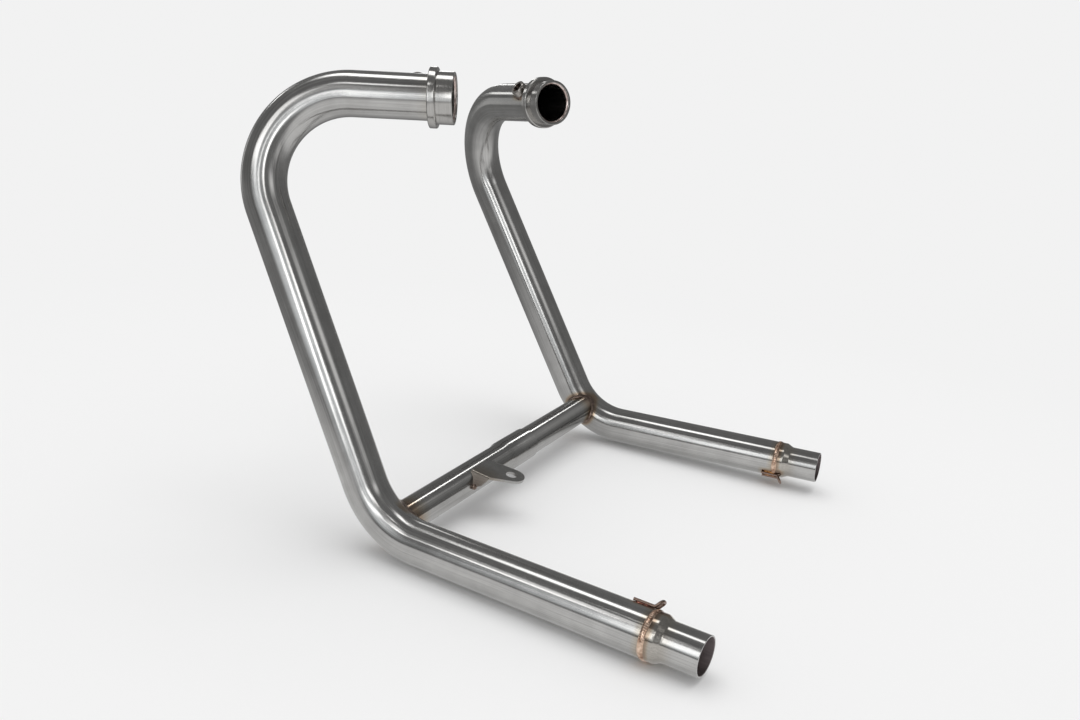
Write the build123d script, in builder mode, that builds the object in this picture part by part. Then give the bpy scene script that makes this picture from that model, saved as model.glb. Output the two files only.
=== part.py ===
from build123d import *
import os
from dataclasses import dataclass
from math import cos, radians, sin, sqrt

# All sizes in mm. X runs to the rider's left, Y to the rear, Z up.

# Header tube
TUBE_R = 22.5
TUBE_WALL = 1.5
BEND_RADIUS = 85.0

# Corners of the centre line: spread between the two halves, distance behind the lower corner, rise above it
PORT_SPREAD = 230.0
PORT_BEHIND = -27.5
PORT_RISE = 416.0
FRONT_SPREAD = 430.0
FRONT_BEHIND = -230.5
FRONT_RISE = 402.0
LOWER_SPREAD = 468.0
LEFT_RUN = 357.0
LEFT_SPLAY = 23.5
RIGHT_RUN = 319.5
SLIP_ANGLE = 1.6
SEAM_ANGLE = 240.0

# Port ferrule, along the port axis from its mouth
SPIGOT_R = 25.5
SPIGOT_LENGTH = 16.5
COLLAR_R = 29.5
COLLAR_LENGTH = 8.0
COLLAR_ROUND = 1.3
SPIGOT_ROUND = 0.6
FERRULE_CLEARANCE = 0.1
TUBE_RECESS = 3.0
PORT_BEAD = 1.9

# Oxygen sensor boss
BOSS_SETBACK = 40.0
BOSS_ANGLE = 58.0
BOSS_R = 9.0
BOSS_HEIGHT = 8.0
BOSS_CHAMFER = 0.9
SENSOR_BORE_R = 5.35
BOSS_BEAD = 1.8

# Outlet reducer, back from the outlet end
OUTLET_R = 19.0
REDUCER_LENGTH = 52.0
SHOULDER_LENGTH = 9.5
CONE_LENGTH = 7.0
CONE_ROUND = 5.0
OUTLET_BEAD_WIDTH = 6.0
OUTLET_BEAD_RISE = 0.9

# Spring hook, a wire hairpin with its closed end bent up, placed from the joint of tube and reducer
WIRE_R = 1.5
WIRE_LIFT = 0.15
HOOK_LEAD = {"left": 5.0, "right": -6.0}
HOOK_LEG = 21.0
HOOK_WIDTH = 8.5
HOOK_RISE = 7.0
HOOK_LEAN = 5.0
HOOK_BEND = 3.2
HOOK_ANGLE = {"left": 35.0, "right": 140.0}
HOOK_BEAD_GAP = 3.0
HOOK_BEAD_LENGTH = 16.0
HOOK_BEAD_WIDTH = 14.0
HOOK_BEAD_RISE = 2.2

# Cross tube, along its axis from the left header's centre line
CROSS_R = 17.5
CROSS_WALL = 1.5
CROSS_SHARE = {"left": 0.59, "right": 0.37}
CROSS_BEAD = 2.6
SOCKET_STEP = 222.0
SOCKET_TAPER = 6.0
SOCKET_LIP = 285.0
SLIP_CLEARANCE = 0.1
SLIP_END = 236.0

# Bracket on the left half of the cross tube, from its bolt hole
BRACKET_STATION = 165.0
BRACKET_TILT = 9.0
BRACKET_TOP = 18.4
PLATE_THICKNESS = 3.0
PLATE_START = 7.0
PLATE_REACH = 43.2
PLATE_LEFT = 26.4
PLATE_RIGHT = -10.5
TAB_R = 15.0
BOLT_HOLE_R = 6.5
FLAP_LENGTH = 22.6
FLAP_OUTER = 1.5
FLAP_INNER = 10.0
FLAP_DEPTH = 16.5
FLAP_FOOT = 11.6
FLAP_TIP = 18.0
FLAP_MIDDLE = 12.0
FLAP_LEAN = 40.0
FOLD_ROUND = 1.5
FOLD_STRIP = 6.0
FLAP_BEAD_R = 3.2


@dataclass
class Half:
    """One header of the pair: name, side of the middle, rear run and turn in the slip joint."""

    name: str
    sign: int
    run: float
    turn: float

    def corner(self, spread, behind, rise):
        """Point of the centre line, given before the half is turned about its lower corner."""
        arm = Vector(self.sign * (spread - LOWER_SPREAD) / 2, behind, rise)
        return Vector(self.sign * LOWER_SPREAD / 2, 0, 0) + arm.rotate(Axis.X, self.turn)

    @property
    def port(self):
        return self.corner(PORT_SPREAD, PORT_BEHIND, PORT_RISE)

    @property
    def front(self):
        return self.corner(FRONT_SPREAD, FRONT_BEHIND, FRONT_RISE)

    @property
    def lower(self):
        return self.corner(LOWER_SPREAD, 0, 0)

    @property
    def outlet(self):
        splay = LEFT_SPLAY * self.run / LEFT_RUN
        return self.corner(LOWER_SPREAD + 2 * splay, self.run, 0)

    @property
    def port_axis(self):
        return (self.front - self.port).normalized()

    @property
    def run_axis(self):
        return (self.outlet - self.lower).normalized()

    def route(self):
        """Centre line from the recessed upper end of the tube to the joint with the reducer."""
        upper_end = self.port + self.port_axis * TUBE_RECESS
        lower_end = self.outlet - self.run_axis * REDUCER_LENGTH
        with BuildLine() as line:
            FilletPolyline(upper_end, self.front, self.lower, lower_end, radius=BEND_RADIUS)
        return line.line

    def cross_foot(self):
        """Point of the lower bend where the cross tube meets it."""
        bends = self.route().edges().filter_by(GeomType.CIRCLE).sort_by(Axis.Z)
        return bends[0].position_at(CROSS_SHARE[self.name])

    def around(self, axis, angle):
        """Direction square to an axis, at an angle from the top towards the middle of the pair."""
        top = (Vector(0, 0, 1) - axis * axis.Z).normalized()
        inward = top.cross(axis)
        if inward.X * self.sign > 0:
            inward = inward * -1
        return top * cos(radians(angle)) + inward * sin(radians(angle))


def lengthwise(origin, axis):
    """Sketch plane through an axis: X along it, Y away from it."""
    return Plane(origin, x_dir=axis, z_dir=axis.cross(Vector(0, 0, 1)).normalized())


def rod(path, section, radius):
    """Round solid swept along a header's centre line."""
    with BuildPart() as swept:
        with BuildSketch(section):
            Circle(radius)
        sweep(path=path)
    return swept.part


def bar(start, axis, radius, length, seam=None):
    """Round solid along a straight axis, its seam on the side away from what it is cut with."""
    with BuildPart() as straight:
        with BuildSketch(Plane(start, x_dir=seam, z_dir=axis)):
            Circle(radius)
        extrude(amount=length)
    return straight.part


pieces = {}
left = Half("left", 1, LEFT_RUN, 0.0)
right = Half("right", -1, RIGHT_RUN, SLIP_ANGLE)
left_foot = left.cross_foot()
right_foot = right.cross_foot()
cross_axis = (right_foot - left_foot).normalized()
cross_length = (right_foot - left_foot).length

for half in (left, right):
    port_plane = lengthwise(half.port, half.port_axis)
    run_plane = lengthwise(half.outlet, half.run_axis * -1)
    path = half.route()
    tube_start = half.port + half.port_axis * TUBE_RECESS
    boss_foot = half.port + half.port_axis * BOSS_SETBACK
    boss_axis = half.around(half.port_axis, BOSS_ANGLE)
    foot = left_foot if half is left else right_foot
    stub_axis = cross_axis if half is left else cross_axis * -1
    seam = half.around(half.port_axis, SEAM_ANGLE)
    tube_end = Plane(tube_start, x_dir=seam, z_dir=half.port_axis)
    tube_core = rod(path, tube_end, TUBE_R)

    # Header tube with its sensor hole and its balance passage
    with BuildPart() as header_tube:
        with BuildSketch(tube_end):
            Circle(TUBE_R)
            Circle(TUBE_R - TUBE_WALL, mode=Mode.SUBTRACT)
        sweep(path=path)
        add(bar(boss_foot, boss_axis, SENSOR_BORE_R, TUBE_R + BOSS_HEIGHT), mode=Mode.SUBTRACT)
        add(bar(foot, stub_axis, CROSS_R - CROSS_WALL, 2 * TUBE_R), mode=Mode.SUBTRACT)
    pieces[f"{half.name}_header_tube"] = header_tube.part

    # Port ferrule: spigot and collar turned in one
    with BuildPart() as port_ferrule:
        with BuildSketch(port_plane) as ferrule_section:
            with Locations((SPIGOT_LENGTH / 2, SPIGOT_R / 2)):
                Rectangle(SPIGOT_LENGTH, SPIGOT_R)
            with Locations((SPIGOT_LENGTH + COLLAR_LENGTH / 2, COLLAR_R / 2)):
                Rectangle(COLLAR_LENGTH, COLLAR_R)
            fillet(ferrule_section.vertices().group_by(Axis.Y)[-1], COLLAR_ROUND)
        revolve(axis=Axis(half.port, half.port_axis))
        add(bar(half.port, half.port_axis, TUBE_R + FERRULE_CLEARANCE, 2 * COLLAR_R), mode=Mode.SUBTRACT)
        fillet(port_ferrule.edges().filter_by(GeomType.CIRCLE).sort_by_distance(half.port)[:2], SPIGOT_ROUND)
    pieces[f"{half.name}_port_ferrule"] = port_ferrule.part

    # Weld inside the mouth, on the recessed end of the tube
    with BuildPart() as port_weld:
        with BuildSketch(port_plane):
            with BuildLine():
                bore_r = TUBE_R + FERRULE_CLEARANCE
                bead_side = (TUBE_RECESS - PORT_BEAD, bore_r)
                bead_root = (TUBE_RECESS, bore_r - PORT_BEAD + 2 * FERRULE_CLEARANCE)
                Polyline(bead_side, (TUBE_RECESS, bore_r), bead_root)
                RadiusArc(bead_root, bead_side, -2 * PORT_BEAD)
            make_face()
        revolve(axis=Axis(half.port, half.port_axis))
    pieces[f"{half.name}_port_weld"] = port_weld.part

    # Sensor boss, saddled on the tube
    with BuildPart() as sensor_boss:
        with BuildSketch(Plane(boss_foot, z_dir=boss_axis)):
            Circle(BOSS_R)
            Circle(SENSOR_BORE_R, mode=Mode.SUBTRACT)
        extrude(amount=TUBE_R + BOSS_HEIGHT)
        mouth = boss_foot + boss_axis * (TUBE_R + BOSS_HEIGHT)
        chamfer(sensor_boss.edges().filter_by(GeomType.CIRCLE).sort_by_distance(mouth)[:2], BOSS_CHAMFER)
        add(bar(half.port, half.port_axis, TUBE_R, 2 * BOSS_SETBACK), mode=Mode.SUBTRACT)
    pieces[f"{half.name}_sensor_boss"] = sensor_boss.part

    # Weld round the foot of the boss
    with BuildPart() as sensor_weld:
        add(bar(boss_foot, boss_axis, BOSS_R + BOSS_BEAD, TUBE_R + BOSS_HEIGHT))
        add(bar(half.port, half.port_axis, TUBE_R + BOSS_BEAD, 2 * BOSS_SETBACK), mode=Mode.INTERSECT)
        add(bar(boss_foot, boss_axis, BOSS_R, TUBE_R + BOSS_HEIGHT), mode=Mode.SUBTRACT)
        add(bar(half.port, half.port_axis, TUBE_R, 2 * BOSS_SETBACK), mode=Mode.SUBTRACT)
    pieces[f"{half.name}_sensor_weld"] = sensor_weld.part

    # Outlet reducer: shoulder, cone and spigot of one wall
    with BuildPart() as outlet_reducer:
        with BuildSketch(run_plane):
            shoulder = REDUCER_LENGTH - SHOULDER_LENGTH
            cone = shoulder - CONE_LENGTH
            with BuildLine():
                profile = FilletPolyline(
                    (0, OUTLET_R),
                    (cone, OUTLET_R),
                    (shoulder, TUBE_R),
                    (REDUCER_LENGTH, TUBE_R),
                    radius=CONE_ROUND,
                )
                offset(profile, TUBE_WALL, side=Side.RIGHT, closed=True)
            make_face()
        revolve(axis=Axis(half.outlet, half.run_axis))
    pieces[f"{half.name}_outlet_reducer"] = outlet_reducer.part

    # Spring hook
    run_out = half.around(half.run_axis, HOOK_ANGLE[half.name])
    joint = half.outlet - half.run_axis * REDUCER_LENGTH
    hook_axis = joint - half.run_axis * HOOK_LEAD[half.name]
    hook_side = half.run_axis.cross(run_out) * (HOOK_WIDTH / 2)
    leg_height = sqrt((TUBE_R + WIRE_LIFT + WIRE_R) ** 2 - (HOOK_WIDTH / 2) ** 2)
    leg_foot = hook_axis + run_out * leg_height
    leg_end = leg_foot - half.run_axis * HOOK_LEG
    crown = leg_foot + run_out * HOOK_RISE + half.run_axis * HOOK_LEAN
    with BuildPart() as spring_hook:
        with BuildLine() as wire:
            FilletPolyline(
                leg_end - hook_side,
                leg_foot - hook_side,
                crown - hook_side,
                crown + hook_side,
                leg_foot + hook_side,
                leg_end + hook_side,
                radius=HOOK_BEND,
            )
        with BuildSketch(Plane(leg_end - hook_side, z_dir=half.run_axis)):
            Circle(WIRE_R)
        sweep(path=wire.line)
    pieces[f"{half.name}_spring_hook"] = spring_hook.part

    # Weld between tube and reducer
    with BuildPart() as outlet_weld:
        with BuildSketch(run_plane):
            with BuildLine():
                bead_front = (REDUCER_LENGTH - OUTLET_BEAD_WIDTH / 2, TUBE_R)
                bead_back = (REDUCER_LENGTH + OUTLET_BEAD_WIDTH / 2, TUBE_R)
                Line(bead_back, bead_front)
                ThreePointArc(bead_front, (REDUCER_LENGTH, TUBE_R + OUTLET_BEAD_RISE), bead_back)
            make_face()
        revolve(axis=Axis(half.outlet, half.run_axis))
        add(spring_hook.part, mode=Mode.SUBTRACT)
    pieces[f"{half.name}_outlet_weld"] = outlet_weld.part

    # Weld along the legs of the hook
    bead_centre = hook_axis - half.run_axis * (HOOK_BEAD_GAP + HOOK_BEAD_LENGTH / 2)
    bead_start = bead_centre - half.run_axis * HOOK_BEAD_LENGTH
    bead_span = 2 * HOOK_BEAD_LENGTH
    with BuildPart() as hook_weld:
        with BuildSketch(Plane(bead_centre, x_dir=half.run_axis, z_dir=run_out)):
            RectangleRounded(HOOK_BEAD_LENGTH, HOOK_BEAD_WIDTH, HOOK_BEAD_WIDTH / 3)
        extrude(amount=2 * TUBE_R)
        add(
            bar(bead_start, half.run_axis, TUBE_R + HOOK_BEAD_RISE, bead_span, run_out * -1),
            mode=Mode.INTERSECT,
        )
        add(bar(bead_start, half.run_axis, TUBE_R, bead_span, run_out * -1), mode=Mode.SUBTRACT)
        add(spring_hook.part, mode=Mode.SUBTRACT)
        add(outlet_weld.part, mode=Mode.SUBTRACT)
    pieces[f"{half.name}_hook_weld"] = hook_weld.part

    # Stub of the cross tube: the left one widens to a socket, the right one slides into it
    with BuildPart() as cross_tube:
        with BuildSketch(lengthwise(foot, stub_axis)):
            with BuildLine():
                if half is left:
                    profile = Polyline(
                        (0, CROSS_R),
                        (SOCKET_STEP, CROSS_R),
                        (SOCKET_STEP + SOCKET_TAPER, CROSS_R + CROSS_WALL + SLIP_CLEARANCE),
                        (SOCKET_LIP, CROSS_R + CROSS_WALL + SLIP_CLEARANCE),
                    )
                else:
                    profile = Polyline((0, CROSS_R), (cross_length - SLIP_END, CROSS_R))
                offset(profile, CROSS_WALL, side=Side.RIGHT, closed=True)
            make_face()
        revolve(axis=Axis(foot, stub_axis))
        add(tube_core, mode=Mode.SUBTRACT)
    pieces[f"{half.name}_cross_tube"] = cross_tube.part

    # Weld round the saddle of the stub
    with BuildPart() as cross_weld:
        add(bar(foot, stub_axis, CROSS_R + CROSS_BEAD, 2 * TUBE_R))
        add(rod(path, tube_end, TUBE_R + CROSS_BEAD), mode=Mode.INTERSECT)
        add(bar(foot, stub_axis, CROSS_R, 2 * TUBE_R), mode=Mode.SUBTRACT)
        add(tube_core, mode=Mode.SUBTRACT)
    pieces[f"{half.name}_cross_weld"] = cross_weld.part

# Bracket: a tab with a bolt hole, and a flap folded down along one edge
tilt = radians(BRACKET_TILT)
level = Vector(0, sin(tilt), cos(tilt))
plate_normal = (level - cross_axis * level.dot(cross_axis)).normalized()
bracket_axis = left_foot + cross_axis * BRACKET_STATION
plate = Plane(bracket_axis + plate_normal * BRACKET_TOP, x_dir=cross_axis * -1, z_dir=plate_normal)
fold_start = plate.from_local_coords(Vector(PLATE_LEFT, PLATE_START))
fold_axis = plate.y_dir
fold_side = plate.x_dir
lean = radians(FLAP_LEAN)
flap_normal = fold_side * cos(lean) + plate_normal * sin(lean)
flap_down = fold_side * sin(lean) - plate_normal * cos(lean)
cross_bar = bar(left_foot, cross_axis, CROSS_R, SOCKET_STEP, plate_normal * -1)

# Flap: a strip of the plate folded down along its left edge, and trimmed
with BuildPart() as flap:
    with BuildSketch(Plane(fold_start, x_dir=fold_side, z_dir=fold_axis * -1)):
        with BuildLine():
            strip = FilletPolyline(
                (-FOLD_STRIP, 0),
                (0, 0),
                (FLAP_DEPTH * sin(lean), -FLAP_DEPTH * cos(lean)),
                radius=FOLD_ROUND + PLATE_THICKNESS,
            )
            offset(strip, PLATE_THICKNESS, side=Side.RIGHT, closed=True)
        make_face()
    extrude(amount=-FLAP_LENGTH)
    with BuildSketch(Plane(fold_start, x_dir=fold_axis, z_dir=flap_normal)):
        with BuildLine():
            Polyline(
                (0, FOLD_STRIP),
                (FLAP_LENGTH, FOLD_STRIP),
                (FLAP_LENGTH, -FLAP_OUTER),
                (FLAP_TIP, -FLAP_MIDDLE),
                (FLAP_FOOT, -FLAP_DEPTH),
                (0, -FLAP_INNER),
                close=True,
            )
        make_face()
    extrude(amount=2 * FOLD_STRIP, both=True, mode=Mode.INTERSECT)

with BuildPart() as cross_bracket:
    with BuildSketch(plate):
        with BuildLine():
            Polyline(
                (PLATE_RIGHT, PLATE_START),
                (PLATE_LEFT, PLATE_START),
                (PLATE_LEFT, PLATE_START + FLAP_LENGTH),
            )
            CenterArc((0, PLATE_REACH), TAB_R, 0, 360)
        make_hull()
        with Locations((0, PLATE_REACH)):
            Circle(BOLT_HOLE_R, mode=Mode.SUBTRACT)
        with Locations((PLATE_LEFT, PLATE_START + FLAP_LENGTH / 2)):
            Rectangle(2 * FOLD_STRIP, FLAP_LENGTH, mode=Mode.SUBTRACT)
    extrude(amount=-PLATE_THICKNESS)
    add(flap.part)
    add(cross_bar, mode=Mode.SUBTRACT)
pieces["cross_bracket"] = cross_bracket.part

# Weld between the foot of the flap and the tube
with BuildPart() as bracket_weld:
    flap_foot = fold_start + fold_axis * FLAP_FOOT + flap_down * FLAP_DEPTH
    flap_foot = flap_foot - flap_normal * (PLATE_THICKNESS / 2)
    with Locations(flap_foot):
        Sphere(FLAP_BEAD_R)
    add(cross_bracket.part, mode=Mode.SUBTRACT)
    add(cross_bar, mode=Mode.SUBTRACT)
pieces["bracket_weld"] = bracket_weld.part

# Frame at the middle of the foot of the whole pair
boxes = [piece.bounding_box() for piece in pieces.values()]
low = [min(tuple(box.min)[i] for box in boxes) for i in range(3)]
high = [max(tuple(box.max)[i] for box in boxes) for i in range(3)]
origin = Vector((low[0] + high[0]) / 2, (low[1] + high[1]) / 2, low[2])
os.makedirs("parts", exist_ok=True)
for name, piece in pieces.items():
    placed = piece.moved(Location(origin * -1))
    placed.label = name
    export_step(placed, f"parts/{name}.step")
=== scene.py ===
from math import acos, cos, pi, radians, sin, tan

import bmesh
import bpy
import numpy as np
from mathutils import Matrix, Vector


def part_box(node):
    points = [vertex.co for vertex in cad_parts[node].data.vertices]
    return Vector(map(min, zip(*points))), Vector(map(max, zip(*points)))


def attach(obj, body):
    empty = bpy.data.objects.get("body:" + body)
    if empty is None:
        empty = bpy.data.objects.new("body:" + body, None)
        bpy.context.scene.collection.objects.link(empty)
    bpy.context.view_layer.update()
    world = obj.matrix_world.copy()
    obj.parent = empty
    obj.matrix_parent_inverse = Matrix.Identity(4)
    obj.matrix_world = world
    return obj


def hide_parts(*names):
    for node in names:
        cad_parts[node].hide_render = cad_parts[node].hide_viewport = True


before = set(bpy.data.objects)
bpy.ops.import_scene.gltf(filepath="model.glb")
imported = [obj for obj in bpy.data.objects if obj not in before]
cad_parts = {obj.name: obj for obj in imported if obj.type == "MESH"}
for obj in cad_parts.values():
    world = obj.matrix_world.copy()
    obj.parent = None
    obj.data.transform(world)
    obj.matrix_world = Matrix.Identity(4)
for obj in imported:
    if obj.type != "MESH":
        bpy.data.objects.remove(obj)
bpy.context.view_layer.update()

# Sizes of the part in mm, as in its source
ORIGIN = np.array((1.2342, 72.9266, -23.4))
TUBE_R, TUBE_WALL, BEND_RADIUS, SEAM_ANGLE = 22.5, 1.5, 85.0, 240.0
LOWER = (234.0, 0.0, 0.0)
PORT, FRONT = (-119.0, -27.5, 416.0), (-19.0, -230.5, 402.0)
RUNS = {"left": 357.0, "right": 319.5}
LEFT_SPLAY = 23.5
RUN_SLOPE = LEFT_SPLAY / RUNS["left"]
TURN = {"left": 0.0, "right": radians(1.6)}
SIGN = {"left": 1.0, "right": -1.0}
TUBE_RECESS, REDUCER_LENGTH = 3.0, 52.0
OUTLET_R, SHOULDER_LENGTH, CONE_LENGTH, CONE_ROUND = 19.0, 9.5, 7.0, 5.0
SPIGOT_R, SPIGOT_LENGTH, SPIGOT_ROUND = 25.5, 16.5, 0.6
COLLAR_R, COLLAR_LENGTH, COLLAR_ROUND = 29.5, 8.0, 1.3
FERRULE_CLEARANCE = 0.1
BOSS_SETBACK, BOSS_ANGLE, BOSS_R, BOSS_HEIGHT, BOSS_CHAMFER = 40.0, 58.0, 9.0, 8.0, 0.9
THREAD_MINOR, THREAD_MAJOR, THREAD_PITCH = 5.35, 6.0, 1.25
HOOK_ANGLE = {"left": 35.0, "right": 140.0}
HOOK_LEAD = {"left": 5.0, "right": -6.0}
HOOK_HALF_WIDTH = 4.25
CROSS_R, CROSS_WALL = 17.5, 1.5
CROSS_SHARE = {"left": 0.59, "right": 0.37}
SOCKET_STEP, SOCKET_TAPER, SOCKET_LIP = 222.0, 6.0, 285.0
SLIP_CLEARANCE, SLIP_END = 0.1, 236.0
PORT_BEAD, BOSS_BEAD, CROSS_BEAD, OUTLET_BEAD_WIDTH = 1.9, 1.8, 2.6, 6.0
HOOK_BEAD_GAP, HOOK_BEAD_LENGTH, HOOK_BEAD_WIDTH, HOOK_BEAD_RISE = 3.0, 16.0, 14.0, 2.2

# Fineness of the meshes, in mm and in columns round a piece
STRAIGHT_STEP, BEND_STEP, PROFILE_STEP, ARC_STEPS = 10.0, 1.6, 3.0, 8
TUBE_COLUMNS, INNER_COLUMNS, FERRULE_COLUMNS, STUB_COLUMNS, BOSS_COLUMNS = 144, 72, 160, 128, 96
OUTLET_STATIONS, CROSS_STATIONS, BOSS_STATIONS, PORT_STATIONS, BEAD_ACROSS = 720, 540, 360, 540, 9
PUDDLE_ROWS, PUDDLE_COLUMNS = 72, 56
THREAD_LEVELS = 84
SHARP = radians(35)

# Fine forms of the scene's own, in mm
MOUTH_EDGE, STUB_EDGE = 0.25, 0.3
SCALE_AND_SHADE_EDGE = 0.2
TUCK = 0.05
SADDLE_REACH, SADDLE_HALVINGS = 45.0, 28
CHAMFER_DROP, CHAMFER_INSET = 0.55, 0.2
THREAD_START, THREAD_RUN_IN, THREAD_FLARE = 0.5, 0.8, 0.35
FLANK_SLOPE, ROOT_FLAT = 2.2, 0.05
RING_ROOT, FILLET_ROOT = 0.6, 0.4
REDUCER_SEAM = 200.0

# Ripples of each bead in mm: rise and pitch
OUTLET_RIPPLES, CROSS_RIPPLES, BOSS_RIPPLES, PORT_RIPPLES = (0.95, 1.9), (0.8, 2.1), (0.55, 1.7), (0.35, 1.8)
# Their form: how far a crown runs ahead of its feet, how sharp a crest is, and how the height is shared
RIPPLE_LEAD, CREST_POWER, SECTION_POWER = 0.55, 1.6, 0.8
BEAD_SHARE, RIPPLE_SHARE, FEWEST_RIPPLES = 0.78, 0.30, 6
# Slow change of height round a bead: share, waves and phase
WANDER = ((0.10, 3, 1.0), (0.07, 7, 0.4))

# Puddle of weld over a hook, in mm where it is a length: its outline, its ripples and its ridges on the wire's legs
PUDDLE_SQUARE, PUDDLE_POWER, PUDDLE_ROOT, PUDDLE_TUCK = 4, 0.6, 0.5, 0.1
PUDDLE_PITCH, PUDDLE_LEAD, PUDDLE_CREST, PUDDLE_SHARE, PUDDLE_RIPPLE = 2.3, 0.9, 1.5, 0.85, 0.28
VALLEY, RIDGE, RIDGE_WIDTH = 0.55, 0.45, 2.1

# Heat tint: its strength, and the distances in mm at which it is full and at which it has gone
BOSS_HEAT = (0.7, BOSS_R + 1, BOSS_R + 6)
HOOK_HEAT = (0.9, 8, 15)
STUB_HEAT = (0.85, CROSS_R + 2, CROSS_R + 9)
TUBE_END_HEAT = (0.6, 3, 10)
FERRULE_HEAT = (0.12, 22, 36)
REDUCER_HEAT = (0.75, 3, 11)
CONE_HEAT, CONE_HEAT_AT = (0.2, 4, 18), 40
SMOKE_HEAT, SMOKE_BACK, SMOKE_TURN = (0.95, 3, 11), 5, 18
FOOT_HEAT = (0.85, 24, 34)
BRACKET_HEAT, BRACKET_HEAT_AT = (0.3, 14, 36), 140.0


def unit(v):
    """Vector of length one."""
    return np.asarray(v, float) / np.linalg.norm(v)


def metres(points):
    """Points of the source, in mm, as points of the frame."""
    return (np.asarray(points, float) - ORIGIN) / 1000.0


def smoothstep(low, high, x):
    """Smooth rise from 0 at low to 1 at high."""
    t = np.clip((np.asarray(x, float) - low) / (high - low), 0, 1)
    return t * t * (3 - 2 * t)


def scorch(distance, discolour):
    """Heat tint at distances from a weld."""
    strength, full, gone = discolour
    return strength * (1 - smoothstep(full, gone, distance))


def apart(points, point):
    """Distance of each point from one point."""
    return np.linalg.norm(points - point, axis=1)


def fillet(before, corner, after, radius):
    """Arc that rounds a corner: its start, its middle, the way into it, the way to its inside and its angle."""
    way, turned = unit(corner - before), unit(after - corner)
    angle = acos(np.clip(way @ turned, -1, 1))
    inward = unit(turned - way * (way @ turned))
    start = corner - way * radius * tan(angle / 2)
    return start, start + inward * radius, way, inward, angle


def on_arc(arc, radius, turn):
    """Point of an arc, a turn on from its start."""
    _, middle, way, inward, _ = arc
    return middle + radius * (way * sin(turn) - inward * cos(turn))


# Centre lines

class Half:
    """Centre line of one header: its corners, its axes, and points along it."""

    def __init__(self, name):
        self.name, self.sign = name, SIGN[name]
        run = RUNS[name]
        self.port, self.front = self.corner(PORT), self.corner(FRONT)
        self.lower, self.outlet = self.corner((0, 0, 0)), self.corner((run * RUN_SLOPE, run, 0))
        self.port_axis, self.run_axis = unit(self.front - self.port), unit(self.outlet - self.lower)
        self.hook_bead = REDUCER_LENGTH + HOOK_LEAD[name] + HOOK_BEAD_GAP + HOOK_BEAD_LENGTH / 2
        self.upper_bend = fillet(self.port, self.front, self.lower, BEND_RADIUS)
        self.lower_bend = fillet(self.front, self.lower, self.outlet, BEND_RADIUS)
        self.sample()

    def corner(self, offset):
        """Corner of the centre line from its offset to the lower corner, turned in the slip joint."""
        x, y, z = offset
        c, s = cos(TURN[self.name]), sin(TURN[self.name])
        return np.array((self.sign * (LOWER[0] + x), LOWER[1] + c * y - s * z, LOWER[2] + s * y + c * z))

    def sample(self):
        """Sets the points of the centre line, the way at each, and its distance from the upper end."""
        here = self.port + self.port_axis * TUBE_RECESS
        end = self.outlet - self.run_axis * REDUCER_LENGTH
        points, ways = [], []
        for arc in (self.upper_bend, self.lower_bend):
            start, _, way, inward, angle = arc
            steps = max(2, int(np.linalg.norm(start - here) / STRAIGHT_STEP))
            points += [here + (start - here) * i / steps for i in range(steps)]
            ways += [way] * steps
            steps = int(BEND_RADIUS * angle / BEND_STEP)
            for i in range(steps):
                turn = angle * i / steps
                points.append(on_arc(arc, BEND_RADIUS, turn))
                ways.append(way * cos(turn) + inward * sin(turn))
            here = on_arc(arc, BEND_RADIUS, angle)
        steps = max(2, int(np.linalg.norm(end - here) / STRAIGHT_STEP))
        points += [here + (end - here) * i / steps for i in range(steps + 1)]
        ways += [self.run_axis] * (steps + 1)
        self.points, self.ways = np.array(points), np.array(ways)
        lengths = np.linalg.norm(np.diff(self.points, axis=0), axis=1)
        self.distance = np.concatenate([[0.0], np.cumsum(lengths)])

    def cross_foot(self):
        """Point of the lower bend where the cross tube meets it."""
        return on_arc(self.lower_bend, BEND_RADIUS, self.lower_bend[-1] * CROSS_SHARE[self.name])

    def around(self, axis, angle):
        """Direction square to an axis, at an angle from the top towards the middle of the pair."""
        top = unit(np.array((0, 0, 1.0)) - axis * axis[2])
        inward = np.cross(top, axis)
        if inward[0] * self.sign > 0:
            inward = -inward
        return top * cos(radians(angle)) + inward * sin(radians(angle))

    def depth(self, points):
        """Distance of points from the centre line."""
        a, b = self.points[:-1], self.points[1:]
        d = b - a
        t = np.clip(np.einsum("pkj,kj->pk", points[:, None, :] - a, d) / (d * d).sum(1), 0, 1)
        near = a + t[..., None] * d
        return np.linalg.norm(points[:, None, :] - near, axis=2).min(1)


halves = {name: Half(name) for name in ("left", "right")}
feet = {name: half.cross_foot() for name, half in halves.items()}
cross_axis = unit(feet["right"] - feet["left"])
cross_length = np.linalg.norm(feet["right"] - feet["left"])
stub_axis = {"left": cross_axis, "right": -cross_axis}


# Mesh helpers

def mark(mesh, name, values):
    """Gives each vertex a number or a vector, under a name that a material reads."""
    values = np.ascontiguousarray(values, np.float32)
    kind, key = ("FLOAT_VECTOR", "vector") if values.ndim == 2 else ("FLOAT", "value")
    mesh.attributes.new(name, kind, "POINT").data.foreach_set(key, values.ravel())


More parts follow.
